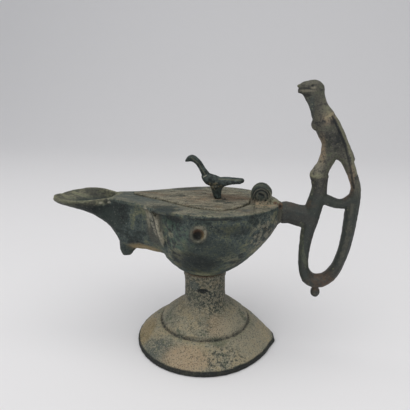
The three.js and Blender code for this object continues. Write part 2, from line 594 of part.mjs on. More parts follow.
// Handle: an arm, a long loop with a drop under it, a column with a knop, and a perched bird.
// Its places are shares of its reach behind the bowl, and of its height above or drop below the plate.
// The third figure is a limb's width and the fourth its depth, both as shares of the handle's depth.
function makeHandle() {
  const X = (share) => ARM_FACE_X + share * (HANDLE_REACH - 0.8);
  const Z = (share) => RIM_Z + share * (share > 0 ? HANDLE_TOP : HANDLE_DROP);
  const at = ([x, z, width, depth]) => [X(x), Z(z), width * HANDLE_DEPTH, depth * HANDLE_DEPTH];
  const arm = limb([
    [-0.03, -0.108, 1.49, 0.95], [0.05, -0.1, 1.53, 1], [0.13, -0.106, 1.43, 1],
    [0.21, -0.122, 1.47, 1], [0.36, -0.14, 1.56, 1],
  ].map(at), { steps: 7 });
  const behind = new THREE.BoxGeometry(ARM_HEIGHT, 2 * HANDLE_DEPTH, 2 * ARM_HEIGHT);
  behind.translate(ARM_FACE_X - ARM_HEIGHT / 2, 0, Z(-0.1));
  const loop = limb([
    [0.76, 0.41, 0.78, 0.9], [0.83, 0.332, 0.71, 0.9], [0.889, 0.25, 0.6, 0.95], [0.94, 0.155, 0.62, 1],
    [0.938, 0.09, 0.73, 1], [0.92, -0.013, 0.89, 1],
    [0.908, -0.155, 0.86, 1], [0.892, -0.3, 0.79, 1], [0.862, -0.449, 0.74, 1],
    [0.822, -0.569, 0.72, 1], [0.77, -0.672, 0.76, 1], [0.682, -0.765, 0.84, 1],
    [0.53, -0.82, 1, 1], [0.405, -0.785, 0.89, 1], [0.343, -0.682, 0.69, 1], [0.331, -0.567, 0.69, 1],
    [0.34, -0.423, 0.78, 1], [0.36, -0.296, 0.89, 1],
    [0.41, -0.12, 1.04, 1],
  ].map(at), { steps: 40 });
  const column = limb([
    [0.385, -0.17, 1.11, 1], [0.427, -0.02, 1.11, 1], [0.47, 0.08, 1.07, 1], [0.478, 0.153, 1.02, 1],
    [0.471, 0.205, 1.09, 1.03], [0.466, 0.243, 1.29, 1.16],
    [0.478, 0.277, 1.07, 1.04], [0.51, 0.32, 0.93, 1], [0.551, 0.38, 1, 1.05], [0.6, 0.48, 1.33, 1.15],
  ].map(at), { steps: 24 });
  const bar = limb([
    [0.49, 0.06, 0.71, 0.85], [0.604, 0.036, 0.69, 0.85], [0.678, 0.019, 0.64, 0.85],
    [0.747, 0.012, 0.62, 0.85], [0.816, 0.017, 0.67, 0.85], [0.9, 0.05, 0.78, 0.85],
  ].map(at), { steps: 12 });
  const bird = limb([
    [0.333, 0.935, 0.89, 0.85], [0.352, 0.9, 1.07, 1], [0.364, 0.866, 1.07, 1.02],
    [0.404, 0.792, 1.11, 1.05], [0.466, 0.71, 1.47, 1.2],
    [0.534, 0.629, 1.64, 1.32], [0.614, 0.541, 1.6, 1.3], [0.704, 0.46, 1.38, 1.15],
    [0.804, 0.395, 0.96, 0.95], [0.868, 0.362, 0.49, 0.75],
  ].map(at), { steps: 20, round: true, sides: 12 });
  const D = HANDLE_DEPTH;
  const head = ellipsoid(X(0.322), 0, Z(0.924), D * 0.72, D * 0.52, D * 0.61, 0.1);
  const beak = limb([
    [0.3, 0.925, 0.89, 0.75], [0.21, 0.93, 0.71, 0.6], [0.155, 0.932, 0.49, 0.4], [0.118, 0.937, 0.18, 0.2],
  ].map(at), { steps: 6, round: true, sides: 12 });
  const lowerBeak = limb([
    [0.27, 0.905, 0.56, 0.6], [0.2, 0.905, 0.44, 0.5], [0.145, 0.911, 0.2, 0.25],
  ].map(at), { steps: 5, round: true, sides: 10 });
  const drop = ellipsoid(X(0.524), 0, Z(-0.94), D * 0.345, D * 0.345, D * 0.42);
  return union([arm.subtract(solid(behind)), loop, column, bar, bird, head, beak, lowerBeak, drop]);
}

const FINISHES = {
  reservoir: [0x4a4f48, 0.62, 0.55],
  foot: [0x6b665a, 0.72, 0.35],
  handle: [0x44463f, 0.6, 0.55],
  lid: [0x786c5b, 0.75, 0.3],
  lid_bird: [0x34373a, 0.5, 0.6],
  hinge_pin: [0x2f3234, 0.55, 0.6],
};

function meshOf(name, piece) {
  const [color, roughness, metalness] = FINISHES[name];
  const finish = new THREE.MeshStandardMaterial({ color, roughness, metalness });
  const mesh = new THREE.Mesh(geometryOf(piece), finish);
  mesh.name = name;
  return mesh;
}

const lamp = new THREE.Group();
lamp.add(
  meshOf('foot', makeFoot()),
  meshOf('reservoir', makeReservoir()),
  meshOf('handle', makeHandle()),
  meshOf('lid', makeLid()),
  meshOf('lid_bird', makeLidBird()),
  meshOf('hinge_pin', makePin()),
);

// The origin is under the middle of the whole lamp, on the surface that it stands on
const box = new THREE.Box3().setFromObject(lamp);
lamp.position.set(-(box.min.x + box.max.x) / 2, -(box.min.y + box.max.y) / 2, -box.min.z);

export default lamp;
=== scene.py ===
"""A footed bronze oil lamp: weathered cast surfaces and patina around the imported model."""

import json
import math

import bpy
import numpy as np
from bpy.props import FloatProperty, FloatVectorProperty, PointerProperty
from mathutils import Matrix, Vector


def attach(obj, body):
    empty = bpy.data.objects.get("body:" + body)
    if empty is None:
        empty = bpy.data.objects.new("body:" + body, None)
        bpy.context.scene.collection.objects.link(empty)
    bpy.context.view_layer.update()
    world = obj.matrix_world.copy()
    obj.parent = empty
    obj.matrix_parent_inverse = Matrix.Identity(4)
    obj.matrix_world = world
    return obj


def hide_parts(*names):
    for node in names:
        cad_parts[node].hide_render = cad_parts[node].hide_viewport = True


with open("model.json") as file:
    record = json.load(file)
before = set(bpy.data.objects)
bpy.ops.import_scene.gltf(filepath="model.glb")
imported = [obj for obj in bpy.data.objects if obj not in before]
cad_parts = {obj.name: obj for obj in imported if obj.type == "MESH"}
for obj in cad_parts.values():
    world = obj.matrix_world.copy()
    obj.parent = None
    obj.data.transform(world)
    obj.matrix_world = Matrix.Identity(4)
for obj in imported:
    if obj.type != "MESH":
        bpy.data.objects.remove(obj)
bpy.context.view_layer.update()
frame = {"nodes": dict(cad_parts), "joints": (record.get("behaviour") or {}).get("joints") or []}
HINGE = Vector(frame["joints"][0]["pos_m"])

bl_info = {
    "name": "Footed bronze oil lamp",
    "version": (1, 0, 0),
    "blender": (4, 5, 0),
    "location": "View3D > Sidebar > Lamp",
    "description": "Builds the weathered surfaces of a footed bronze oil lamp",
    "category": "Object",
}

MM = 0.001

# The lamp's own axes start at the axis of its foot, on the ground. Lengths there are in millimetres.
HINGE_X, PIN_Z = 35.7, 104.7
TAB_X, TAB_Z = HINGE_X + 0.4, 104.0
RIM_Z = 99.5
CREASE_RADIUS = 30.0
SEAM_Z = 46.8
BOSS_X, BOSS_Z = 2.7, 87.7
EYE_X, EYE_Z = 62.5, 169.4
LID_HOLE = (12.8, -1.6)
AXIS_X = HINGE.x - HINGE_X * MM
NEAR, FAR = -1, 1

TOP_POWER = 12.0
FRONT_POWER = 4.2
AIR_STRENGTH = 0.53


def at(x, y, z):
    """A point of the lamp's own axes, in millimetres, as a point of the frame in metres."""
    return Vector((AXIS_X + x * MM, y * MM, z * MM))


def linear(code):
    """A colour written as six hex digits, as linear light."""
    shares = [int(code[i:i + 2], 16) / 255 for i in (0, 2, 4)]
    return tuple(s / 12.92 if s <= 0.04045 else ((s + 0.055) / 1.055) ** 2.4 for s in shares)


class LampSizes(bpy.types.PropertyGroup):
    """Sizes that shape the surfaces and the view of the lamp"""

    bowl_grain: FloatProperty(
        name="Bowl grain", description="Edge of one face of the bowl's modelled surface",
        default=0.76 * MM, unit="LENGTH")
    foot_grain: FloatProperty(
        name="Foot grain", description="Edge of one face of the foot's modelled surface",
        default=0.64 * MM, unit="LENGTH")
    handle_grain: FloatProperty(
        name="Handle grain", description="Edge of one face of the handle's modelled surface",
        default=0.42 * MM, unit="LENGTH")
    small_grain: FloatProperty(
        name="Small grain", description="Edge of one face of the lid, the small bird and the pin",
        default=0.38 * MM, unit="LENGTH")
    wave: FloatProperty(
        name="Wave", description="Height of the slow unevenness of the cast surface",
        default=0.55 * MM, unit="LENGTH")
    pitting: FloatProperty(
        name="Pitting", description="Depth of the small corroded pits",
        default=0.28 * MM, unit="LENGTH")
    view_distance: FloatProperty(
        name="View distance", description="Level distance from the foot's axis to the camera",
        default=267.4 * MM, unit="LENGTH")
    view_height: FloatProperty(
        name="View height", description="Height of the camera over the ground",
        default=170.5 * MM, unit="LENGTH")
    view_turn: FloatProperty(
        name="View turn", description="How far the camera stands round from the lamp's side",
        default=math.radians(10.5), subtype="ANGLE")
    view_dip: FloatProperty(
        name="View dip", description="How far the camera looks down",
        default=math.radians(15.71), subtype="ANGLE")
    view_lens: FloatProperty(
        name="View lens", description="Focal length over a film 36 millimetres wide",
        default=37.76)


def shade(name, description, code):
    """A colour that a user may change, with its default as hex digits."""
    return FloatVectorProperty(
        name=name, description=description, subtype="COLOR", size=3, min=0, max=1,
        default=linear(code))


class LampColours(bpy.types.PropertyGroup):
    """Colours of the patina, the deposits, the painted shade and highlights, and the studio"""

    # Night also paints shade: under the plate's and the dish's rims, in the hollows below the plate, in
    # the hinge tabs' slots and arcs, and on the pin's ends. Deep paints shade below the dish's rim, and
    # with drab it paints the bowl's shadow on the stem. Drab also paints highlights on the hinge tabs'
    # arcs, and olive paints sheen lines on the lid bird.
    night: shade("Night", "Bottom of pits and the darkest bronze", "1b1f20")
    deep: shade("Deep", "Dark green-grey bronze", "303835")
    slate: shade("Slate", "Blue-grey bronze", "454f4d")
    coal: shade("Coal", "Dark grey-brown bronze", "393936")
    drab: shade("Drab", "Middle grey-brown bronze", "56544a")
    moss: shade("Moss", "Dull green patina", "5b604e")
    olive: shade("Olive", "Pale olive patina", "828169")
    jade: shade("Jade", "Green bloom", "536a5a")
    stone: shade("Stone", "Grey-tan deposit", "8d8876")
    sand: shade("Sand", "Tan deposit", "9a8f73")
    clay: shade("Clay", "Pinkish tan deposit", "a89378")
    ochre: shade("Ochre", "Yellow-brown deposit", "8f7c56")
    rust: shade("Rust", "Red-brown corrosion", "5f4838")
    chalk: shade("Chalk", "Pale grey deposit", "b1ad9d")
    floor: shade("Floor", "Studio floor", "e9e9eb")
    sky: shade("Sky", "Studio light", "ebecee")
    glow: shade("Glow", "Light from above", "efece8")


def sizes():
    return bpy.context.scene.lamp_sizes


def colour(name):
    return tuple(getattr(bpy.context.scene.lamp_colours, name))


# Selection, placing and joining

def only(obj):
    """Makes obj the one selected and active object."""
    bpy.ops.object.select_all(action="DESELECT")
    obj.select_set(True)
    bpy.context.view_layer.objects.active = obj
    return obj


def baked(obj):
    """Puts obj's place, turn and scale into its mesh."""
    only(obj)
    bpy.ops.object.transform_apply(location=True, rotation=True, scale=True)
    return obj


def apply_modifier(obj, kind, **settings):
    only(obj)
    modifier = obj.modifiers.new(kind.title(), kind)
    for name, value in settings.items():
        setattr(modifier, name, value)
    bpy.ops.object.modifier_apply(modifier=modifier.name)
    return obj


def merge_points(obj, span, outwards=False):
    """Merges points closer together than span, and turns every face outwards where asked."""
    only(obj)
    bpy.ops.object.mode_set(mode="EDIT")
    bpy.ops.mesh.select_all(action="SELECT")
    bpy.ops.mesh.remove_doubles(threshold=span)
    if outwards:
        bpy.ops.mesh.normals_make_consistent(inside=False)
    bpy.ops.object.mode_set(mode="OBJECT")
    return obj


def copy_of(node, name):
    """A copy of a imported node's mesh as a new piece, with its doubled points merged."""
    obj = bpy.data.objects.new(name, frame["nodes"][node].data.copy())
    bpy.context.scene.collection.objects.link(obj)
    obj.data.materials.clear()
    return merge_points(obj, 0.001 * MM)


def joined(obj, parts):
    """Joins parts into obj's mesh."""
    only(obj)
    for part in parts:
        part.select_set(True)
    bpy.ops.object.join()
    return obj


def cut(obj, tools):
    """Takes each tool's shape out of obj."""
    for tool in tools:
        apply_modifier(obj, "BOOLEAN", operation="DIFFERENCE", solver="MANIFOLD", object=tool)
        bpy.data.objects.remove(tool)
    return obj


def remesh(obj, grain):
    apply_modifier(obj, "REMESH", mode="VOXEL", voxel_size=grain, adaptivity=0.0)
    return obj


def points_of(obj):
    """Places of obj's points in the lamp's own axes, in millimetres, as an array."""
    places = np.zeros(len(obj.data.vertices) * 3)
    obj.data.vertices.foreach_get("co", places)
    places = places.reshape(-1, 3)
    return (places - (AXIS_X, 0, 0)) / MM


def weigh(obj, name, weights):
    """A vertex group of the given weights, set in steps of a twentieth."""
    count = 20
    group = obj.vertex_groups.new(name=name)
    steps = np.round(np.clip(weights, 0, 1) * count).astype(int)
    for step in range(1, count + 1):
        chosen = np.nonzero(steps == step)[0].tolist()
        if chosen:
            group.add(chosen, step / count, "REPLACE")
    return name


def eased(values, low, high):
    """Nought below low, one above high, and a smooth way between."""
    share = np.clip((values - low) / (high - low), 0, 1)
    return share * share * (3 - 2 * share)


def bell(values, middle, width):
    """One at the middle, fading to nought on both sides."""
    return np.exp(-((values - middle) / width) ** 2)


def near_to(places, centre, half_sizes, edge=0.4):
    """One inside an ellipsoid and nought outside it, fading over its edge."""
    distance = np.linalg.norm((places - centre) / half_sizes, axis=1)
    return 1 - eased(distance, 1 - edge, 1)


def smooth(obj, factor, times, weights=None):
    settings = {"factor": factor, "iterations": times}
    if weights is not None:
        settings["vertex_group"] = weigh(obj, "smooth", weights)
    apply_modifier(obj, "SMOOTH", **settings)
    obj.vertex_groups.clear()
    return obj


# Primitives and drawn bars, each placed in the lamp's own axes

ACROSS = (math.pi / 2, 0, 0)


def ball(x, y, z, half_x, half_y, half_z):
    bpy.ops.mesh.primitive_uv_sphere_add(
        segments=36, ring_count=20, radius=1, location=at(x, y, z))
    obj = bpy.context.object
    obj.scale = (half_x * MM, half_y * MM, half_z * MM)
    return baked(obj)


def drum(x, y, z, radius, length):
    """A round drum along Y."""
    bpy.ops.mesh.primitive_cylinder_add(
        vertices=48, radius=radius * MM, depth=length * MM, location=at(x, y, z),
        rotation=ACROSS)
    return baked(bpy.context.object)


def ring(x, y, z, radius, thickness):
    """A round ring about an axis along Y."""
    bpy.ops.mesh.primitive_torus_add(
        location=at(x, y, z), rotation=ACROSS, major_radius=radius * MM, minor_radius=thickness * MM,
        major_segments=64, minor_segments=14)
    return baked(bpy.context.object)


def bar(points, radii):
    """A round bar drawn through points, with a radius at each."""
    data = bpy.data.curves.new("bar", "CURVE")
    data.dimensions = "3D"
    data.bevel_depth = MM
    data.bevel_resolution = 5
    data.use_fill_caps = True
    spline = data.splines.new("NURBS")
    spline.points.add(len(points) - 1)
    for place, (x, y, z), radius in zip(spline.points, points, radii):
        place.co = (*at(x, y, z), 1)
        place.radius = radius
    spline.order_u = 3
    spline.use_endpoint_u = True
    spline.resolution_u = 8
    obj = bpy.data.objects.new("bar", data)
    bpy.context.scene.collection.objects.link(obj)
    only(obj)
    bpy.ops.object.convert(target="MESH")
    return merge_points(bpy.context.object, 0.01 * MM, outwards=True)


def skin_y(obj, x, z, side):
    """How far out obj's surface lies on one side, at a place along the lamp and a height."""
    found, place, _, _ = obj.ray_cast(at(x, side * 80, z), Vector((0, -side, 0)))
    return place.y / MM if found else 0.0


# Weathering of the surface itself

def cast_texture(name, kind, grain, depth=2):
    texture = bpy.data.textures.new(name, kind)
    texture.noise_scale = grain * MM
    if kind == "CLOUDS":
        texture.noise_depth = depth
    return texture


def press(obj, weights, depth, direction="NORMAL"):
    """Presses the weighted points in by depth in millimetres, or moves them so far along an axis."""
    strength = -depth if direction == "NORMAL" else depth
    apply_modifier(obj, "DISPLACE", direction=direction, mid_level=0.0, strength=strength * MM,
                   vertex_group=weigh(obj, "press", weights))
    obj.vertex_groups.clear()
    return obj


def weather(obj, wave, pits, pit_weights=None, wave_weights=None):
    """Slow waves of the casting, a fine grain, and corroded pits where the weights ask for them."""
    wave_grain, fine_grain, pit_grain = 11, 2.6, 3.4
    slow = cast_texture(obj.name + "_wave", "CLOUDS", wave_grain)
    fine = cast_texture(obj.name + "_grain", "CLOUDS", fine_grain, depth=3)
    for texture, strength in ((slow, sizes().wave * wave), (fine, sizes().pitting * wave)):
        group = weigh(obj, "wave", wave_weights) if wave_weights is not None else ""
        apply_modifier(obj, "DISPLACE", texture=texture, texture_coords="LOCAL", strength=strength,
                       vertex_group=group)
        obj.vertex_groups.clear()
    if pits:
        pit = cast_texture(obj.name + "_pits", "VORONOI", pit_grain)
        group = weigh(obj, "pits", pit_weights) if pit_weights is not None else ""
        apply_modifier(
            obj, "DISPLACE", texture=pit, texture_coords="LOCAL", mid_level=0.45,
            strength=sizes().pitting * 2.4 * pits, vertex_group=group)
        obj.vertex_groups.clear()
    return obj


def keep(obj, node, body, material):
    """Gives the finished piece its material and its body, and hides the imported node it replaces."""
    obj.data.materials.clear()
    obj.data.materials.append(material)
    only(obj)
    bpy.ops.object.shade_smooth()
    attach(obj, body)
    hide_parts(node)
    return obj


# Shader boards

class Board:
    """Short calls that add and link the nodes of one material."""

    def __init__(self, name):
        self.material = bpy.data.materials.new(name)
        self.material.use_nodes = True
        self.tree = self.material.node_tree
        self.tree.nodes.clear()
        self.place = self.add("ShaderNodeTexCoord").outputs["Object"]
        self.drift = self.shifted(7.0, 1.6)
        self.base = None

    def add(self, kind, inputs=None, **settings):
        node = self.tree.nodes.new(kind)
        for name, value in settings.items():
            setattr(node, name, value)
        for key, value in (inputs or {}).items():
            if isinstance(value, bpy.types.NodeSocket):
                self.tree.links.new(value, node.inputs[key])
            else:
                node.inputs[key].default_value = value
        return node

    def shifted(self, grain, reach):
        """The place pushed about by a slow noise, for ragged patches. Both are in millimetres."""
        noise = self.add("ShaderNodeTexNoise", {
            "Vector": self.place, "Scale": 1 / (grain * MM), "Detail": 4.0, "Roughness": 0.65})
        centred = self.add("ShaderNodeVectorMath", {0: noise.outputs["Color"], 1: (0.5, 0.5, 0.5)},
                           operation="SUBTRACT")
        scaled = self.add("ShaderNodeVectorMath", {0: centred.outputs[0], "Scale": reach * 2 * MM},
                          operation="SCALE")
        return self.add("ShaderNodeVectorMath", {0: self.place, 1: scaled.outputs[0]}).outputs[0]

    def noise(self, grain, detail=5.0, rough=0.6, where=None, stretch=None):
        """A noise with the given grain in millimetres, stretched along an axis where asked."""
        where = where or self.place
        if stretch:
            where = self.add("ShaderNodeMapping", {"Vector": where, "Scale": stretch}).outputs[0]
        return self.add("ShaderNodeTexNoise", {
            "Vector": where, "Scale": 1 / (grain * MM), "Detail": detail, "Roughness": rough,
        }).outputs["Fac"]

    def step(self, value, low, high, to_low=0.0, to_high=1.0):
        """A smooth step between two levels."""
        return self.add("ShaderNodeMapRange", {
            "Value": value, "From Min": low, "From Max": high, "To Min": to_low, "To Max": to_high,
        }, interpolation_type="SMOOTHSTEP").outputs["Result"]

    def maths(self, operation, a, b=0.0):
        return self.add("ShaderNodeMath", {0: a, 1: b}, operation=operation).outputs[0]

    def times(self, *values):
        result = values[0]
        for value in values[1:]:
            result = self.maths("MULTIPLY", result, value)
        return result

    def sum_of(self, *parts):
        """The sum of some values, each times its share."""
        total = None
        for value, share in parts:
            part = self.maths("MULTIPLY", value, share)
            total = part if total is None else self.maths("ADD", total, part)
        return total

    def ramp(self, value, stops):
        node = self.add("ShaderNodeValToRGB", {"Fac": value})
        while len(node.color_ramp.elements) < len(stops):
            node.color_ramp.elements.new(0.5)
        for element, (place, name) in zip(node.color_ramp.elements, stops):
            element.position = place
            element.color = (*colour(name), 1)
        return node.outputs["Color"]

    def mix(self, under, over, share):
        node = self.add("ShaderNodeMix", data_type="RGBA")
        for socket, value in ((node.inputs[0], share), (node.inputs[6], under), (node.inputs[7], over)):
            if isinstance(value, bpy.types.NodeSocket):
                self.tree.links.new(value, socket)
            elif isinstance(value, str):
                socket.default_value = (*colour(value), 1)
            else:
                socket.default_value = value
        return node.outputs[2]

    def paint(self, over, *shares):
        """Lays a colour over the colour so far, by the product of the shares."""
        self.base = self.mix(self.base, over, self.times(*shares))

    def patch(self, centre, half_sizes, edge=0.5, strength=1.0, where=None):
        """A soft patch about a point of the lamp's own axes, in millimetres."""
        offset = self.add("ShaderNodeVectorMath", {0: where or self.drift, 1: at(*centre)},
                          operation="SUBTRACT")
        scaled = self.add("ShaderNodeVectorMath", {
            0: offset.outputs[0], 1: tuple(h * MM for h in half_sizes)}, operation="DIVIDE")
        length = self.add("ShaderNodeVectorMath", {0: scaled.outputs[0]}, operation="LENGTH")
        return self.step(length.outputs["Value"], 1 + edge / 2, 1 - edge / 2, 0, strength)

    def spot(self, centre, half_sizes, edge=0.8, strength=1.0):
        """A small patch with a clean edge."""
        return self.patch(centre, half_sizes, edge, strength, where=self.place)

    def circle(self, centre, across, radius, width):
        """A narrow circle of the given radius. Across is nought along the circle's own axis."""
        offset = self.add("ShaderNodeVectorMath", {0: self.place, 1: at(*centre)}, operation="SUBTRACT")
        flat = self.add("ShaderNodeVectorMath", {0: offset.outputs[0], 1: across}, operation="MULTIPLY")
        length = self.add("ShaderNodeVectorMath", {0: flat.outputs[0]}, operation="LENGTH")
        far = self.maths("ABSOLUTE", self.maths("SUBTRACT", length.outputs["Value"], radius * MM))
        return self.step(far, width * MM, width * 0.4 * MM)

    def stripe(self, start, end, width, strength=1.0):
        """A straight stripe between two points (x, z) of the lamp's own axes, seen from its side."""
        first, last = at(start[0], 0, start[1]), at(end[0], 0, end[1])
        length = (last - first).length
        way = (last - first).normalized()
        offset = self.add("ShaderNodeVectorMath", {0: self.place, 1: first}, operation="SUBTRACT")
        along, across = (
            self.add("ShaderNodeVectorMath", {0: offset.outputs[0], 1: direction},
                     operation="DOT_PRODUCT").outputs["Value"]
            for direction in (tuple(way), (way.z, 0, -way.x)))
        soft = 0.5 * MM
        beside = self.step(self.maths("ABSOLUTE", across), width * MM, width * 0.5 * MM)
        begin = self.step(along, -soft, soft)
        end = self.step(along, length + soft, length - soft)
        return self.times(beside, begin, end, strength)

    def height(self, where=None):
        """Height over the ground, in metres."""
        return self.add("ShaderNodeSeparateXYZ", {0: where or self.drift}).outputs["Z"]

    def edges(self):
        """High on raised edges."""
        return self.step(self.add("ShaderNodeNewGeometry").outputs["Pointiness"], 0.51, 0.58)

    def hollows(self):
        """High in creases."""
        return self.step(self.add("ShaderNodeNewGeometry").outputs["Pointiness"], 0.49, 0.43)

    def finish(self, roughness, relief, metal, gloss, depth):
        """Wires the shader. Relief is a list of heights with their shares, depth is in millimetres."""
        bump = self.add("ShaderNodeBump", {
            "Height": self.sum_of(*relief), "Distance": depth * MM, "Strength": 1.0})
        shader = self.add("ShaderNodeBsdfPrincipled", {
            "Base Color": self.base, "Roughness": roughness, "Metallic": metal,
            "Specular IOR Level": gloss, "Normal": bump.outputs[0]})
        out = self.add("ShaderNodeOutputMaterial")
        self.tree.links.new(shader.outputs[0], out.inputs[0])
        return self.material


def bowl_bronze():
    """Dark blue-green bowl and nozzle, grey-tan plate, pale ribs, with painted shade below the plate
    and the dish, and painted highlights and shade on the hinge tabs.
    """
    b = Board("bowl_bronze")
    broad = b.noise(17, 6, 0.62)
    fine = b.noise(3.4, 6, 0.72)
    speck = b.noise(1.0, 4, 0.7)
    streak = b.noise(5, 5, 0.66, where=b.drift, stretch=(0.35, 1, 1.3))
    mixed = b.sum_of((broad, 0.42), (fine, 0.25), (streak, 0.18), (speck, 0.15))
    b.base = b.ramp(mixed, [
        (0.4, "night"), (0.465, "deep"), (0.505, "slate"), (0.55, "moss"), (0.62, "olive")])
    # Green, olive and dark areas of the near side, painted shade in the hollow below the plate, and the
    # painted shadow line below the plate's rim
    b.paint("jade", b.patch((-14, -27, 84), (15, 12, 12)), b.step(fine, 0.45, 0.6), 0.5)
    b.paint("olive", b.patch((-16, -20, 74), (9, 12, 15)), b.step(streak, 0.45, 0.6), 0.75)
    b.paint("deep", b.patch((8, -28, 74), (15, 14, 12), strength=0.6))
    b.paint("night", b.patch((-3, -24, 66), (15, 12, 9), strength=0.6))
    b.paint("moss", b.patch((20, -28, 91), (22, 14, 6)), b.step(fine, 0.46, 0.6), 0.4)
    b.paint("stone", b.patch((40, -12, 80), (11, 24, 16)), b.step(fine, 0.46, 0.6), 0.7)
    b.paint("olive", b.patch((24, -20, 66), (13, 16, 9)), b.step(streak, 0.5, 0.6), 0.45)
    # Painted shade in the hollow flank below the plate
    b.paint("night", b.patch((-17, -28, 95.4), (13, 9, 4.0), 0.5, 0.75))
    # Painted shadow under the plate's rim
    b.paint("night", b.patch((13, -38, 97.4), (13, 8, 1.0), 0.8, 0.7))
    b.paint("night", b.patch((21, -30, 89.5), (12, 12, 3.6), 0.8, 0.5))
    b.paint("slate", b.patch((-18, -28, 97.2), (12, 8, 1.4), 0.5, 0.3))
    # Pale mouldings beside the nozzle and the tan strip below it
    for side in (NEAR, FAR):
        b.paint("drab", b.patch((-29, side * 18, 84), (6, 8, 18), 0.5, 0.55))
        for centre, half in (((-33, side * 18, 92), (1.6, 8, 9)), ((-27, side * 20, 86), (1.7, 8, 9)),
                             ((-24.5, side * 18, 77), (1.5, 8, 6))):
            b.paint("stone", b.patch(centre, half, 0.7), b.step(fine, 0.4, 0.55, 0.35, 0.9))
        # Boss: pale above and behind, brown and black inside
        b.paint("drab", b.spot((BOSS_X, side * 36, BOSS_Z), (5.2, 6, 5.0), 0.5, 0.8))
        b.paint("stone", b.patch((3.6, side * 36, 91.8), (3.0, 6, 0.9), 0.9, 0.5))
        b.paint("stone", b.patch((6.9, side * 36, 88.4), (0.8, 6, 2.6), 0.9, 0.75))
        b.paint("rust", b.spot((2.9, side * 36, 88.6), (3.2, 6, 2.6), 0.6, 0.8))
        b.paint("ochre", b.spot((4.6, side * 36, 87.2), (1.5, 6, 2.2), 0.8, 0.45))
        b.paint("night", b.spot((1.9, side * 35, 86.6), (2.6, 5, 2.2), 0.8, 0.85))
    for start, end in (((-32.5, 98), (-30.4, 89)), ((-30.4, 89), (-28, 79)), ((-28.0, 95), (-26.6, 85)),
                       ((-26.6, 85), (-24.8, 77))):
        b.paint("chalk", b.stripe(start, end, 1.2), b.step(fine, 0.42, 0.56, 0.05, 0.5))
    b.paint("night", b.stripe((-29.6, 95), (-27.2, 80), 0.8, 0.6))
    b.paint("ochre", b.patch((-41, -8, 64), (12, 9, 5), 0.6, 0.75))
    b.paint("deep", b.patch((-56, 0, 60), (8, 12, 8), 0.5, 0.6))
    # Plate on top
    top = b.step(b.height(b.place), (RIM_Z - 1.0) * MM, (RIM_Z - 0.3) * MM)
    plate = b.ramp(b.sum_of((fine, 0.6), (speck, 0.4)),
                   [(0.39, "deep"), (0.46, "moss"), (0.51, "stone"), (0.57, "drab"), (0.65, "olive")])
    rusty = b.times(b.patch((30, -4, 99), (13, 24, 4)), b.step(broad, 0.42, 0.55), 0.5)
    plate = b.mix(plate, "rust", rusty)
    plate = b.mix(plate, "slate", b.times(b.patch((-38, 0, 99), (24, 16, 5), 0.8), 0.75))
    # Painted shade on the plate's bent edge above the hollow flanks
    for side in (NEAR, FAR):
        plate = b.mix(plate, "night", b.patch((-19, side * 26, 98), (12, 6.5, 5), 0.6, 0.7))
    plate = b.mix(plate, "slate", b.times(b.step(b.noise(9, 5), 0.52, 0.62), 0.5))
    lines = b.noise(2.4, 4, 0.7, where=b.drift, stretch=(0.2, 1, 1))
    plate = b.mix(plate, "deep", b.times(b.step(lines, 0.53, 0.63), 0.6))
    plate = b.mix(plate, "stone", b.times(b.step(lines, 0.45, 0.37), 0.5))
    b.paint(plate, top, 0.9)
    # Dish, and painted shade on its underside below the rim
    dish = b.ramp(b.noise(6, 5, 0.66, where=b.drift, stretch=(0.4, 1, 1)),
                  [(0.34, "moss"), (0.46, "drab"), (0.54, "olive"), (0.66, "moss")])
    b.paint(dish, b.patch((-84, 0, 100), (26, 24, 8.5), 0.2), 0.8)
    # Painted shade below the dish's rim
    b.paint("deep", b.patch((-78, 0, 84), (26, 22, 12), 0.4, 0.95))
    for side in (NEAR, FAR):
        b.paint("night", b.patch((-80, side * 20, 91), (24, 9.5, 7), 0.5, 0.75))
    b.paint("night", b.spot((-63.5, -9.5, 97.6), (1.5, 4, 1.3), 0.8, 0.85))
    for x in (-61.4, -66.4):
        b.paint("chalk", b.spot((x, -10, 96.6), (1.1, 4, 0.8), 0.8, 0.5))
    # Hinge tabs: arcs round the pin, painted as highlights and shade and pressed in by the bump,
    # painted shade in the slot, and a tan deposit at their feet
    b.paint("deep", b.spot((HINGE_X, 0, 106.6), (8, 8, 6.9), 0.25, 0.85))
    tabs = b.spot((HINGE_X + 0.9, 0, 106.6), (8, 8, 6.4), 0.3)
    inner_shade_arc, outer_shade_arc, outer_highlight_arc, inner_highlight_arc = (
        b.circle((TAB_X, 0, TAB_Z), (1, 0, 1), radius, width)
        for radius, width in ((3.9, 0.45), (5.3, 0.4), (4.7, 0.5), (2.6, 0.7)))
    # The dark arcs are painted shade and the pale arcs are painted highlights
    shade_arcs = b.maths("MAXIMUM", inner_shade_arc, outer_shade_arc)
    pale = b.maths("MAXIMUM", outer_highlight_arc, inner_highlight_arc)
    b.paint("drab", tabs, pale, 0.7)
    b.paint("night", tabs, shade_arcs, b.step(fine, 0.4, 0.52, 0.3, 0.9))
    # Painted shade in the slot across each tab
    b.paint("night", tabs, b.stripe((34.4, 105.9), (37.8, 104.5), 0.8))
    for x in (34.4, 38.9):
        b.paint("night", b.spot((x, -5, 101.7), (0.7, 2, 0.6), 0.8, 0.8))
    crust = b.patch((HINGE_X + 2, -9, 100), (8, 5, 1.6), 0.8)
    b.paint("clay", crust, b.step(fine, 0.4, 0.56), 0.6)
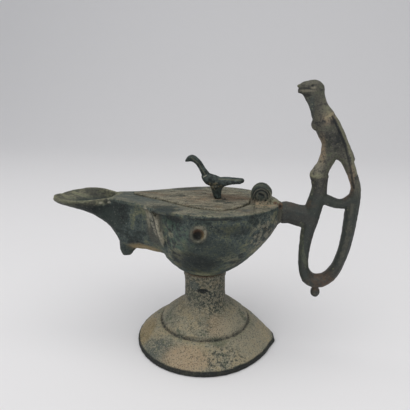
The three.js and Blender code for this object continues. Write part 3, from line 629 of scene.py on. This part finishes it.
    # Corroded joint with the handle
    b.paint("drab", b.patch((47.5, 0, 94), (3.4, 8, 8), 0.4, 0.8))
    b.paint("olive", b.patch((44, -2, 100.4), (3.5, 6, 2.2)), b.step(fine, 0.42, 0.56), 0.8)
    b.paint("rust", b.spot((48.6, -4, 98.4), (2.6, 4, 1.8), 0.8, 0.85))
    b.paint("night", b.spot((48.0, -4.6, 98.0), (1.1, 2, 1.0), 0.8, 0.9))
    b.paint("rust", b.spot((44.8, -4.2, 99.9), (1.3, 2, 1.2), 0.8, 0.9))
    # Worn edges, creases and pits
    b.paint("olive", b.edges(), b.step(fine, 0.4, 0.6), 0.5)
    b.paint("night", b.hollows(), 0.65)
    b.paint("night", b.step(speck, 0.44, 0.35), 0.7)
    b.paint("chalk", b.step(speck, 0.6, 0.7), 0.28)
    roughness = b.step(fine, 0.3, 0.7, 0.5, 0.78)
    return b.finish(roughness, [(fine, 0.9), (speck, 0.9), (streak, 0.5), (shade_arcs, -1.2)],
                    metal=0.08, gloss=0.25, depth=0.35)


def foot_bronze():
    """Grey-tan pitted foot with ochre and clay patches, painted shadow of the bowl on the stem, a dark
    crease and a nearly black rim.
    """
    b = Board("foot_bronze")
    broad = b.noise(14, 6, 0.62)
    fine = b.noise(3.0, 6, 0.74)
    speck = b.noise(0.85, 4, 0.7)
    blots = b.noise(1.9, 4, 0.7)
    mixed = b.sum_of((broad, 0.4), (fine, 0.35), (speck, 0.25))
    b.base = b.ramp(mixed, [
        (0.38, "deep"), (0.44, "moss"), (0.495, "stone"), (0.56, "sand"), (0.64, "stone")])
    b.paint("slate", b.patch((-24, -31, 6), (13, 10, 8)), b.step(fine, 0.42, 0.56), 0.8)
    b.paint("slate", b.patch((-20, -12, 20), (10, 12, 9)), b.step(fine, 0.45, 0.6), 0.65)
    b.paint("clay", b.patch((-4.5, -40, 8), (15, 9, 7), 0.6, 0.6))
    b.paint("clay", b.patch((12, -22, 22), (8, 9, 6), 0.7, 0.45))
    b.paint("stone", b.patch((22, -16, 19), (10, 12, 9), 0.8, 0.5))
    b.paint("ochre", b.patch((-39, -14, 9), (8, 13, 9), 0.6, 0.6))
    b.paint("stone", b.patch((32, -16, 10), (13, 16, 9), 0.8, 0.45))
    b.paint("rust", b.patch((-8, -38, 8), (16, 10, 8)), b.step(blots, 0.54, 0.64), 0.45)
    # Dark pitted areas
    pitted = b.maths(
        "MAXIMUM", b.patch((20, -36, 7), (17, 9, 7), 0.6), b.patch((9, -11, 33), (9, 8, 10), 0.6))
    b.paint("deep", pitted, b.step(blots, 0.52, 0.42), 0.85)
    b.paint("moss", b.patch((15, -29, 14.6), (6, 4, 2.4), 0.6, 0.7))
    # Stem darker with the painted shadow of the bowl above, partly dark blotches of patina, a grey-blue
    # patch and a deep pit
    level = b.height()
    stem_shadow = b.step(level, 22 * MM, 34 * MM)
    # Painted shadow of the bowl over the stem
    b.paint("drab", stem_shadow, 0.45)
    b.paint("deep", stem_shadow, b.step(blots, 0.53, 0.44), 0.8)
    b.paint("slate", b.patch((-5.2, -12.5, 44), (4, 4, 3), 0.6, 0.7))
    b.paint("night", b.patch((1, -13.5, 40.8), (4.2, 4, 1.7), 0.6, 0.95))
    b.paint("slate", b.patch((1, -24, 21), (7, 6, 5)), b.step(fine, 0.45, 0.58), 0.7)
    # Seam below the bowl, crease round the dome, and the rim on the ground
    b.paint("rust", b.step(level, 50.2 * MM, 51.2 * MM), 0.65)
    over = b.step(b.height(b.place), 12.4 * MM, 13.2 * MM)
    crease = b.times(b.circle((0, 0, 15), (1, 1, 0), CREASE_RADIUS, 1.1), over)
    ridge = b.times(b.circle((0, 0, 15), (1, 1, 0), CREASE_RADIUS + 1.9, 1.2), over)
    b.paint("olive", ridge, b.step(blots, 0.4, 0.56), 0.5)
    b.paint("night", crease, b.step(fine, 0.42, 0.56, 0.3, 0.8))
    foot_rim = b.step(b.height(b.place), 4.0 * MM, 3.1 * MM)
    b.paint("night", foot_rim, 0.85)
    b.paint("moss", foot_rim, b.step(fine, 0.52, 0.62), 0.35)
    b.paint("olive", b.edges(), b.step(fine, 0.4, 0.6), 0.35)
    b.paint("night", b.hollows(), 0.7)
    b.paint("deep", b.step(speck, 0.46, 0.37), 0.75)
    b.paint("chalk", b.step(speck, 0.56, 0.67), 0.45)
    b.paint("night", foot_rim, b.step(fine, 0.42, 0.6, 0.9, 0.55))
    roughness = b.step(fine, 0.3, 0.7, 0.6, 0.85)
    return b.finish(roughness, [(fine, 1.0), (speck, 1.0), (blots, 0.5)],
                    metal=0.05, gloss=0.3, depth=0.4)


def handle_bronze():
    """Dark grey-brown handle with green bloom, tan on its inner faces and on the bird's neck."""
    b = Board("handle_bronze")
    broad = b.noise(12, 6, 0.62)
    fine = b.noise(2.6, 6, 0.72)
    speck = b.noise(0.85, 4, 0.7)
    mixed = b.sum_of((broad, 0.45), (fine, 0.35), (speck, 0.2))
    b.base = b.ramp(mixed, [
        (0.38, "night"), (0.45, "coal"), (0.52, "drab"), (0.58, "moss"), (0.67, "olive")])
    # Dark green-grey below the knop
    lower = b.step(b.height(), 114 * MM, 102 * MM)
    b.paint("coal", lower, b.step(fine, 0.4, 0.6, 0.95, 0.6))
    b.paint("deep", lower, b.step(broad, 0.42, 0.56, 0.15, 0.7))
    # Tan, brown, green and dark areas
    for centre, half, paint, share in (
            ((72.5, 0, 151.5), (5.5, 7, 5), "clay", 0.45),
            ((67.5, 0, 148), (4, 7, 5), "drab", 0.6),
            ((70.2, 0, 133.5), (2.6, 7, 10), "clay", 0.75),
            ((68.3, 0, 124), (4.0, 7, 5.5), "stone", 0.75),
            ((67.5, 0, 118.4), (4.6, 7, 1.8), "olive", 0.9),
            ((86, 0, 111), (4, 7, 7), "rust", 0.6),
            ((78, 0, 48), (12, 7, 9), "rust", 0.55),
            ((88, 0, 118), (2.2, 7, 8), "clay", 0.45),
            ((60, 0, 100), (10, 7, 3), "rust", 0.4),
            ((58, 0, 92), (10, 7, 8), "coal", 0.85),
            ((69, 0, 168), (4, 7, 5), "moss", 0.6),
            ((63, 0, 171), (3.5, 7, 2.5), "drab", 0.6),
            ((65, 0, 160), (3, 7, 6), "coal", 0.8),
            ((72, 0, 158), (4, 7, 7), "olive", 0.5),
            ((77.5, 0, 139.5), (7.5, 7, 11), "night", 0.95),
            ((62.3, 0, 157), (2.6, 7, 8), "slate", 0.7),
            ((68, 0, 156), (3, 7, 9), "drab", 0.5)):
        b.paint(paint, b.patch(centre, half, 0.7), b.step(fine, 0.36, 0.58), share)
    # Pale inner side of the back limb and the outer side of the loop
    for start, end, paint in (((89.4, 102), (89.8, 82), "drab"), ((89.8, 82), (85.6, 62), "drab"),
                              ((61.2, 88), (62.2, 70), "moss"), ((62.2, 70), (67.2, 58), "moss")):
        b.paint(paint, b.stripe(start, end, 2.0), b.step(fine, 0.38, 0.56), 0.6)
    # Wing's edge: a dark line with a pale band behind it, then the pale band down the back limb
    for start, end in (((74, 154), (78, 146.5)), ((78, 146.5), (82.3, 138)), ((82.3, 138), (87, 124)),
                       ((87, 124), (90.2, 111))):
        b.paint("night", b.stripe(start, end, 0.8, 0.8))
    for start, end in (((76.6, 153.4), (84.6, 137.5)), ((84.6, 137.5), (91.5, 119))):
        b.paint("olive", b.stripe(start, end, 1.2, 0.6))
    b.paint("sand", b.stripe((70.5, 151.6), (75.4, 154.6), 1.0, 0.6))
    b.paint("night", b.spot((75, 0, 149.6), (2.4, 7, 2.4), 0.8, 0.7))
    # Bird's face: dark mouth and pupil, pale lower lid and jaw
    b.paint("stone", b.spot((60.5, 0, 166.9), (4.6, 7, 0.8), 0.8, 0.55))
    b.paint("night", b.spot((58.5, 0, 168.2), (3.4, 7, 0.7), 0.8, 0.6))
    b.paint("night", b.spot((60.2, 0, 164.4), (3.0, 7, 1.0), 0.8, 0.6))
    b.paint("stone", b.spot((63.2, 0, 168.6), (1.9, 7, 0.9), 0.8, 0.6))
    b.paint("night", b.spot((EYE_X, 0, EYE_Z + 0.2), (0.95, 7, 0.9), 0.7, 0.95))
    b.paint("olive", b.edges(), b.step(fine, 0.38, 0.6), 0.5)
    b.paint("night", b.hollows(), 0.7)
    b.paint("night", b.step(speck, 0.44, 0.35), 0.65)
    b.paint("chalk", b.step(speck, 0.6, 0.7), 0.2)
    roughness = b.step(fine, 0.3, 0.7, 0.48, 0.72)
    return b.finish(roughness, [(fine, 0.8), (speck, 0.7)], metal=0.15, gloss=0.4, depth=0.25)


def lid_bronze():
    """Grey-tan lid with pink-brown rust and pale grey bloom."""
    b = Board("lid_bronze")
    broad = b.noise(12, 6, 0.6)
    fine = b.noise(2.6, 6, 0.72)
    speck = b.noise(0.85, 4, 0.7)
    streak = b.noise(4, 5, 0.66, where=b.drift, stretch=(0.35, 1, 1))
    mixed = b.sum_of((broad, 0.35), (streak, 0.4), (speck, 0.25))
    b.base = b.ramp(mixed, [
        (0.4, "deep"), (0.46, "drab"), (0.51, "stone"), (0.56, "drab"), (0.63, "sand")])
    bands = b.noise(8, 5, 0.6, where=b.drift, stretch=(0.4, 1, 1))
    b.paint("rust", b.step(bands, 0.5, 0.6), 0.5)
    b.paint("rust", b.patch((14, 4, 100), (13, 7, 4), 0.8, 0.5))
    b.paint("clay", b.patch((-6, -4, 100), (12, 6, 4)), b.step(fine, 0.45, 0.58), 0.5)
    b.paint("stone", b.patch((-4, -13, 100), (16, 6, 4)), b.step(fine, 0.42, 0.58), 0.7)
    lines = b.noise(2.4, 4, 0.7, where=b.drift, stretch=(0.16, 1, 1))
    b.paint("drab", b.step(lines, 0.5, 0.58), 0.6)
    b.paint("deep", b.step(lines, 0.58, 0.66), 0.6)
    b.paint("stone", b.step(lines, 0.44, 0.36), 0.6)
    b.paint("night", b.spot((*LID_HOLE, 100), (2.1, 1.7, 2), 0.7, 0.85))
    b.paint("deep", b.spot((HINGE_X, 0, 106.6), (8.5, 8, 6.6), 0.25, 0.85))
    b.paint("night", b.hollows(), 0.7)
    b.paint("deep", b.step(speck, 0.46, 0.37), 0.75)
    b.paint("chalk", b.step(speck, 0.58, 0.68), 0.35)
    roughness = b.step(fine, 0.3, 0.7, 0.65, 0.85)
    return b.finish(roughness, [(fine, 1.0), (speck, 0.9)], metal=0.0, gloss=0.12, depth=0.3)


def dark_bronze():
    """Near-black bronze with a soft sheen, painted sheen lines along the bird's neck and tail, painted
    shade on the pin's ends, and greenish on its edges.
    """
    b = Board("dark_bronze")
    fine = b.noise(2.2, 6, 0.65)
    speck = b.noise(0.8, 3, 0.65)
    b.base = b.ramp(fine, [(0.36, "night"), (0.5, "deep"), (0.62, "slate")])
    b.paint("ochre", b.patch((6, -3, 109), (5, 5, 2.6)), b.step(fine, 0.46, 0.6), 0.4)
    b.paint("chalk", b.stripe((-1.0, 113.9), (1.4, 115.4), 0.35, 0.55))
    # Painted sheen lines along the bird's neck and tail
    for start, end in (((0.4, 115.8), (-3.6, 122.4)), ((-3.8, 122.6), (-8.6, 126.4)),
                       ((9, 113.2), (23, 112.8))):
        b.paint("olive", b.stripe(start, end, 0.5, 0.28))
    b.paint("olive", b.edges(), b.step(speck, 0.4, 0.6), 0.4)
    b.paint("night", b.hollows(), 0.6)
    # Painted shade on the pin's ends
    b.paint("night", b.spot((HINGE_X, 0, PIN_Z), (4, 9, 4), 0.3, 0.8))
    roughness = b.step(speck, 0.3, 0.7, 0.5, 0.7)
    return b.finish(roughness, [(fine, 0.7), (speck, 0.5)], metal=0.1, gloss=0.3, depth=0.2)


# Pieces

class LAMP_OT_foot(bpy.types.Operator):
    """Models the bell-shaped foot, its stepped ring and its pitted surface"""

    bl_idname = "lamp.foot"
    bl_label = "Foot"

    def execute(self, context):
        obj = copy_of("foot", "foot_casting")
        remesh(obj, sizes().foot_grain)
        places = points_of(obj)
        radius = np.hypot(places[:, 0], places[:, 1])
        step = bell(radius, CREASE_RADIUS - 0.2, 2.6) * eased(places[:, 2], 12, 14)
        rim = eased(radius, 41, 44.5)
        smooth(obj, 0.5, 30, 1 - np.maximum(step, rim * 0.85))
        cut(obj, [ball(1.4, -14.4, 40.8, 4.4, 2.6, 1.7)])
        remesh(obj, sizes().foot_grain)
        smooth(obj, 0.5, 2)
        places = points_of(obj)
        radius = np.hypot(places[:, 0], places[:, 1])
        # Crease round the dome with a low ridge on either side, and the seam at the top of the stem
        outside = eased(places[:, 2], 12.6, 13.4)
        press(obj, bell(radius, CREASE_RADIUS + 0.1, 0.75) * outside, 0.7)
        press(obj, bell(radius, CREASE_RADIUS - 2.1, 1.3) * outside, -0.45)
        press(obj, bell(radius, CREASE_RADIUS + 2.0, 1.0) * outside, -0.3)
        press(obj, bell(places[:, 2], SEAM_Z, 0.6) * eased(radius, 12, 13), 0.4)
        places = points_of(obj)
        pitted = 0.35 + 0.65 * np.maximum(
            near_to(places, (19, -36, 8), (17, 12, 9)), near_to(places, (9, -11, 33), (10, 9, 11)))
        lifted = eased(places[:, 2], 0.6, 1.6)
        weather(obj, wave=0.8, pits=1.0, pit_weights=pitted * lifted, wave_weights=lifted)
        keep(obj, "foot", "lamp", foot_bronze())
        return {"FINISHED"}


class LAMP_OT_reservoir(bpy.types.Operator):
    """Models the bowl, nozzle, plate, ribs, bosses and hinge tabs"""

    bl_idname = "lamp.reservoir"
    bl_label = "Reservoir"

    def execute(self, context):
        obj = copy_of("reservoir", "reservoir_casting")
        remesh(obj, sizes().bowl_grain)
        places = points_of(obj)
        below = 1 - eased(places[:, 2], 93.5, 96.5)
        ahead = 1 - eased(places[:, 0], -66, -62)
        details = np.zeros(len(places))
        for side in (NEAR, FAR):
            details = np.maximum(details, near_to(places, (2, side * 36, 86.7), (8, 8, 8), 0.3))
        pad = near_to(places, (48, 0, 93), (6, 8, 9), 0.3)
        smooth(obj, 0.5, 26, np.maximum(below, ahead * 0.15) * (1 - np.maximum(details, pad)))
        parts = []
        tools = []
        for side in (NEAR, FAR):
            front_rib = [(-34.6, 99), (-33.6, 95), (-32, 90), (-30.2, 84.7), (-28.4, 79)]
            back_rib = [(-29.6, 97.4), (-28.2, 92), (-26.6, 85), (-25, 78), (-23, 71), (-20.8, 64.5)]
            for line, radius in ((front_rib, 0.95), (back_rib, 1.1)):
                points = [(x, skin_y(obj, x, z, side) + side * 0.25, z) for x, z in line]
                radii = [radius * 0.7] + [radius] * (len(line) - 2) + [radius * 0.3]
                parts.append(bar(points, radii))
            groove = [(-31.6, 97), (-30.6, 92), (-28.8, 85), (-26.8, 78), (-24.8, 71)]
            tools.append(bar([(x, skin_y(obj, x, z, side) + side * 0.4, z) for x, z in groove],
                             [0.8, 1.0, 1.0, 0.9, 0.6]))
            boss_y = skin_y(obj, 7.4, 87.6, side)
            parts.append(ring(BOSS_X, boss_y + side * 0.9, BOSS_Z, 4.1, 1.05))
            tools.append(ball(BOSS_X, boss_y + side * 1.6, BOSS_Z - 0.4, 3.5, 3.4, 3.2))
            parts.append(drum(HINGE_X + 1.5, side * 4.7, 104.1, 5.4, 1.7))
            parts.append(ball(HINGE_X + 0.6, side * 4.6, 100.4, 5.7, 0.95, 3))
        # Corroded joint round the handle's arm
        parts.append(ball(48.3, 0, 93.0, 2.5, 4.5, 6.7))
        parts.append(ball(44.2, 0, 99.7, 2.9, 4.6, 1.5))
        parts.append(ball(47.4, -0.6, 98.4, 2.4, 4.2, 1.5))
        # Small lump where the dish meets the nozzle
        parts.append(ball(-64.5, -9.8, 97.2, 2.2, 1.6, 1.6))
        # Fuller fin below the nozzle
        parts.append(ball(-53.6, 0, 61.0, 3.4, 2.4, 4.4))
        parts.append(bar([(-53.5, 0, 59.5), (-50, 0, 61.5), (-46, 0, 65)], [1.8, 1.7, 1.0]))
        cut(obj, tools)
        joined(obj, parts)
        remesh(obj, sizes().bowl_grain)
        # Pits in the joint, and the slot and groove of each hinge tab
        tools = [ball(44.8, -4.0, 100.3, 1.0, 1.3, 1.1), ball(48.0, -4.5, 98.2, 1.1, 1.4, 1.2)]
        for side in (NEAR, FAR):
            tools.append(bar([(34.3, side * 5.6, 105.9), (37.9, side * 5.6, 104.5)], [0.7, 0.7]))
            tools.append(ring(TAB_X, side * 5.6, TAB_Z, 3.9, 0.5))
        cut(obj, tools)
        remesh(obj, sizes().bowl_grain)
        smooth(obj, 0.5, 1)
        # Hollow flanks below the plate, fuller underside of the nozzle, and the plate's bent edge
        places = points_of(obj)
        for side in (NEAR, FAR):
            cove = near_to(places, (-17, side * 28, 93.4), (14, 11, 5.2), 0.7)
            press(obj, cove, -side * 1.6, "Y")
        press(obj, near_to(points_of(obj), (-27, 0, 63), (15, 10, 7), 0.7), -1.5, "Z")
        places = points_of(obj)
        calm = 1 - 0.6 * eased(-places[:, 0], 66, 70)
        press(obj, near_to(places, (-19, -27.5, 99), (12, 7, 4), 0.8), -1.5, "Z")
        level = 1 - 0.75 * eased(places[:, 2], 95, 97.5)
        weather(obj, wave=1.0, pits=0.6, pit_weights=calm * level, wave_weights=level)
        keep(obj, "reservoir", "lamp", bowl_bronze())
        return {"FINISHED"}


class LAMP_OT_handle(bpy.types.Operator):
    """Models the openwork handle and the perched bird at its top"""

    bl_idname = "lamp.handle"
    bl_label = "Handle"

    def execute(self, context):
        obj = copy_of("handle", "handle_casting")
        remesh(obj, sizes().handle_grain)
        places = points_of(obj)
        bird = eased(places[:, 2], 128, 134)
        smooth(obj, 0.5, 30, 0.12 + 0.88 * bird * (1 - near_to(places, (57, 0, 168), (9, 7, 6), 0.5)))
        parts = []
        tools = []
        for side in (NEAR, FAR):
            eye_y = skin_y(obj, 62.4, 169.4, side)
            parts.append(ring(EYE_X, eye_y - side * 0.15, EYE_Z, 1.35, 0.5))
            tools.append(ball(EYE_X, eye_y + side * 0.5, EYE_Z + 0.1, 0.8, 1.2, 0.8))
            mouth = [(54.5, side * 1.6, 168.2), (57.5, side * 3.2, 168.1), (60.6, side * 4.6, 168.0)]
            tools.append(bar(mouth, [0.5, 0.6, 0.3]))
            wing = [(74, 154), (78, 146.5), (82.3, 138), (86.5, 128.5)]
            points = [(x, skin_y(obj, x, z, side), z) for x, z in wing]
            tools.append(bar(points, [0.4, 0.75, 0.75, 0.5]))
        # Open beak
        parts.append(ball(55.9, 0, 169.4, 1.9, 1.7, 1.1))
        parts.append(ball(56.4, 0, 166.2, 1.8, 1.5, 1.0))
        # Full forehead, throat and chest
        parts.append(ball(60.0, 0, 169.8, 4.2, 3.1, 2.5))
        parts.append(bar([(58.0, 0, 166.0), (61.2, 0, 162.8), (64.2, 0, 158), (66, 0, 152)],
                         [1.3, 2.1, 2.4, 2.6]))
        parts.append(ball(66.6, 0, 148.0, 3.2, 3.6, 4.0))
        cut(obj, tools)
        joined(obj, parts)
        remesh(obj, sizes().handle_grain)
        smooth(obj, 0.5, 14, near_to(points_of(obj), (65, 0, 153.5), (8, 8, 12), 0.6))
        cut(obj, [drum(54.3, 0, 168.1, 0.85, 9)])
        remesh(obj, sizes().handle_grain)
        smooth(obj, 0.5, 1)
        weather(obj, wave=0.55, pits=0.35)
        keep(obj, "handle", "lamp", handle_bronze())
        return {"FINISHED"}


class LAMP_OT_lid(bpy.types.Operator):
    """Models the leaf-shaped lid with its hinge knuckle"""

    bl_idname = "lamp.lid"
    bl_label = "Lid"

    def execute(self, context):
        obj = copy_of("lid", "lid_casting")
        remesh(obj, sizes().small_grain)
        cut(obj, [ball(*LID_HOLE, 100.7, 1.5, 1.2, 1.1)])
        remesh(obj, sizes().small_grain)
        smooth(obj, 0.5, 3)
        places = points_of(obj)
        flat = 1 - eased(places[:, 0], 26, 29)
        weather(obj, wave=0.5, pits=0.45, pit_weights=flat)
        keep(obj, "lid", "lid", lid_bronze())
        return {"FINISHED"}


class LAMP_OT_lid_bird(bpy.types.Operator):
    """Models the small long-necked bird on its post"""

    bl_idname = "lamp.lid_bird"
    bl_label = "Lid bird"

    def execute(self, context):
        obj = copy_of("lid_bird", "lid_bird_casting")
        grain = sizes().small_grain * 0.8
        remesh(obj, grain)
        places = points_of(obj)
        smooth(obj, 0.5, 16, eased(places[:, 2], 103, 105))
        cut(obj, [ball(21, 0, 107.6, 9, 4, 3.0)])
        tail = [(4, 0, 112.6), (11, 0, 113.2), (18, 0, 112.8), (23.4, 0, 112.3)]
        neck = [(-11.3, 0, 125.0), (-9.3, 0, 126.3), (-6.4, 0, 125.4), (-3.4, 0, 121.6), (-0.8, 0, 117)]
        post = [(7.6, 0, 101), (7.3, 0, 104), (6.8, 0, 108.5)]
        joined(obj, [
            bar(tail, [0.5, 1.3, 1.5, 1.6]), ball(23.3, 0, 112.3, 1.75, 1.6, 1.65),
            bar(neck, [0.9, 1.8, 1.95, 1.7, 1.8]), bar(post, [2.0, 2.3, 3.5])])
        remesh(obj, grain)
        smooth(obj, 0.5, 2)
        weather(obj, wave=0.35, pits=0.0)
        keep(obj, "lid_bird", "lid", dark_bronze())
        return {"FINISHED"}


class LAMP_OT_hinge_pin(bpy.types.Operator):
    """Models the hinge pin with its hammered heads"""

    bl_idname = "lamp.hinge_pin"
    bl_label = "Hinge pin"

    def execute(self, context):
        obj = copy_of("hinge_pin", "hinge_pin_rivet")
        grain = sizes().small_grain * 0.6
        remesh(obj, grain)
        cut(obj, [bar([(HINGE_X - 1.6, -5.3, 105), (HINGE_X + 1.6, -5.3, 104.4)], [0.5, 0.5])])
        remesh(obj, grain)
        smooth(obj, 0.5, 6)
        keep(obj, "hinge_pin", "lamp", bpy.data.materials["dark_bronze"])
        return {"FINISHED"}


class LAMP_OT_stage(bpy.types.Operator):
    """Sets the pale floor, the soft studio light and the camera"""

    bl_idname = "lamp.stage"
    bl_label = "Stage"

    def sweep(self):
        """A floor that turns up into a wall behind the lamp."""
        bpy.ops.mesh.primitive_plane_add(size=1)
        obj = bpy.context.object
        obj.name = "studio_sweep"
        width, depth, forward, wall = 8, 2.6, 0.5, 3
        obj.scale = (width, depth, 1)
        obj.location = (0, -forward, 0)
        baked(obj)
        bpy.ops.object.mode_set(mode="EDIT")
        bpy.ops.mesh.select_all(action="DESELECT")
        bpy.ops.object.mode_set(mode="OBJECT")
        for edge in obj.data.edges:
            edge.select = all(obj.data.vertices[i].co.y > 0 for i in edge.vertices)
        bpy.ops.object.mode_set(mode="EDIT")
        turns, radius = 10, 0.9
        reach = radius * math.pi / 2 / turns
        for i in range(turns):
            angle = math.pi / 2 * (i + 0.5) / turns
            bpy.ops.mesh.extrude_region_move(TRANSFORM_OT_translate={
                "value": (0, reach * math.cos(angle), reach * math.sin(angle))})
        bpy.ops.mesh.extrude_region_move(TRANSFORM_OT_translate={"value": (0, 0, wall)})
        bpy.ops.object.mode_set(mode="OBJECT")
        bpy.ops.object.shade_smooth()
        board = Board("studio_paper")
        shader = board.add("ShaderNodeBsdfPrincipled", {
            "Base Color": (*colour("floor"), 1), "Roughness": 0.9, "Specular IOR Level": 0.1})
        out = board.add("ShaderNodeOutputMaterial")
        board.tree.links.new(shader.outputs[0], out.inputs[0])
        obj.data.materials.append(board.material)

    def light(self, name, place, target, size, power, tint):
        data = bpy.data.lights.new(name, "AREA")
        data.shape = "RECTANGLE"
        data.size, data.size_y = size
        data.energy = power
        data.color = colour(tint)
        obj = bpy.data.objects.new(name, data)
        bpy.context.scene.collection.objects.link(obj)
        obj.location = place
        obj.rotation_euler = (Vector(target) - Vector(place)).to_track_quat("-Z", "Y").to_euler()

    def execute(self, context):
        self.sweep()
        self.light("top_light", (0.0, -0.3, 1.2), (0, 0, 0), (1.6, 1.4), TOP_POWER, "glow")
        self.light("front_light", (-0.5, -1.3, 0.9), (0, 0, 0.08), (1.2, 1.0), FRONT_POWER, "sky")
        world = bpy.data.worlds.new("studio_air")
        world.use_nodes = True
        air = world.node_tree.nodes["Background"]
        air.inputs["Color"].default_value = (*colour("sky"), 1)
        air.inputs["Strength"].default_value = AIR_STRENGTH
        context.scene.world = world
        size = sizes()
        data = bpy.data.cameras.new("front_view")
        data.sensor_width = 36
        data.lens = size.view_lens
        camera = bpy.data.objects.new("front_view", data)
        context.scene.collection.objects.link(camera)
        camera.location = (
            AXIS_X + size.view_distance * math.sin(size.view_turn),
            -size.view_distance * math.cos(size.view_turn),
            size.view_height)
        camera.rotation_euler = (math.pi / 2 - size.view_dip, 0, size.view_turn)
        data.clip_start = 0.01
        context.scene.camera = camera
        context.scene.view_settings.view_transform = "Standard"
        return {"FINISHED"}


class LAMP_PT_panel(bpy.types.Panel):
    """Lists the lamp's pieces, sizes and colours"""

    bl_idname = "LAMP_PT_panel"
    bl_label = "Bronze oil lamp"
    bl_space_type = "VIEW_3D"
    bl_region_type = "UI"
    bl_category = "Lamp"

    def draw(self, context):
        for operator in STEPS:
            self.layout.operator(operator.bl_idname)
        for group in (context.scene.lamp_sizes, context.scene.lamp_colours):
            box = self.layout.box()
            for name in group.__annotations__:
                box.prop(group, name)


STEPS = (
    LAMP_OT_foot, LAMP_OT_reservoir, LAMP_OT_handle, LAMP_OT_lid, LAMP_OT_lid_bird,
    LAMP_OT_hinge_pin, LAMP_OT_stage,
)
CLASSES = (LampSizes, LampColours, *STEPS, LAMP_PT_panel)


def register():
    for kind in CLASSES:
        bpy.utils.register_class(kind)
    bpy.types.Scene.lamp_sizes = PointerProperty(type=LampSizes)
    bpy.types.Scene.lamp_colours = PointerProperty(type=LampColours)


def unregister():
    del bpy.types.Scene.lamp_sizes
    del bpy.types.Scene.lamp_colours
    for kind in reversed(CLASSES):
        bpy.utils.unregister_class(kind)


def main():
    register()
    bpy.ops.lamp.foot()
    bpy.ops.lamp.reservoir()
    bpy.ops.lamp.handle()
    bpy.ops.lamp.lid()
    bpy.ops.lamp.lid_bird()
    bpy.ops.lamp.hinge_pin()
    bpy.ops.lamp.stage()


if __name__ == "__main__":
    main()
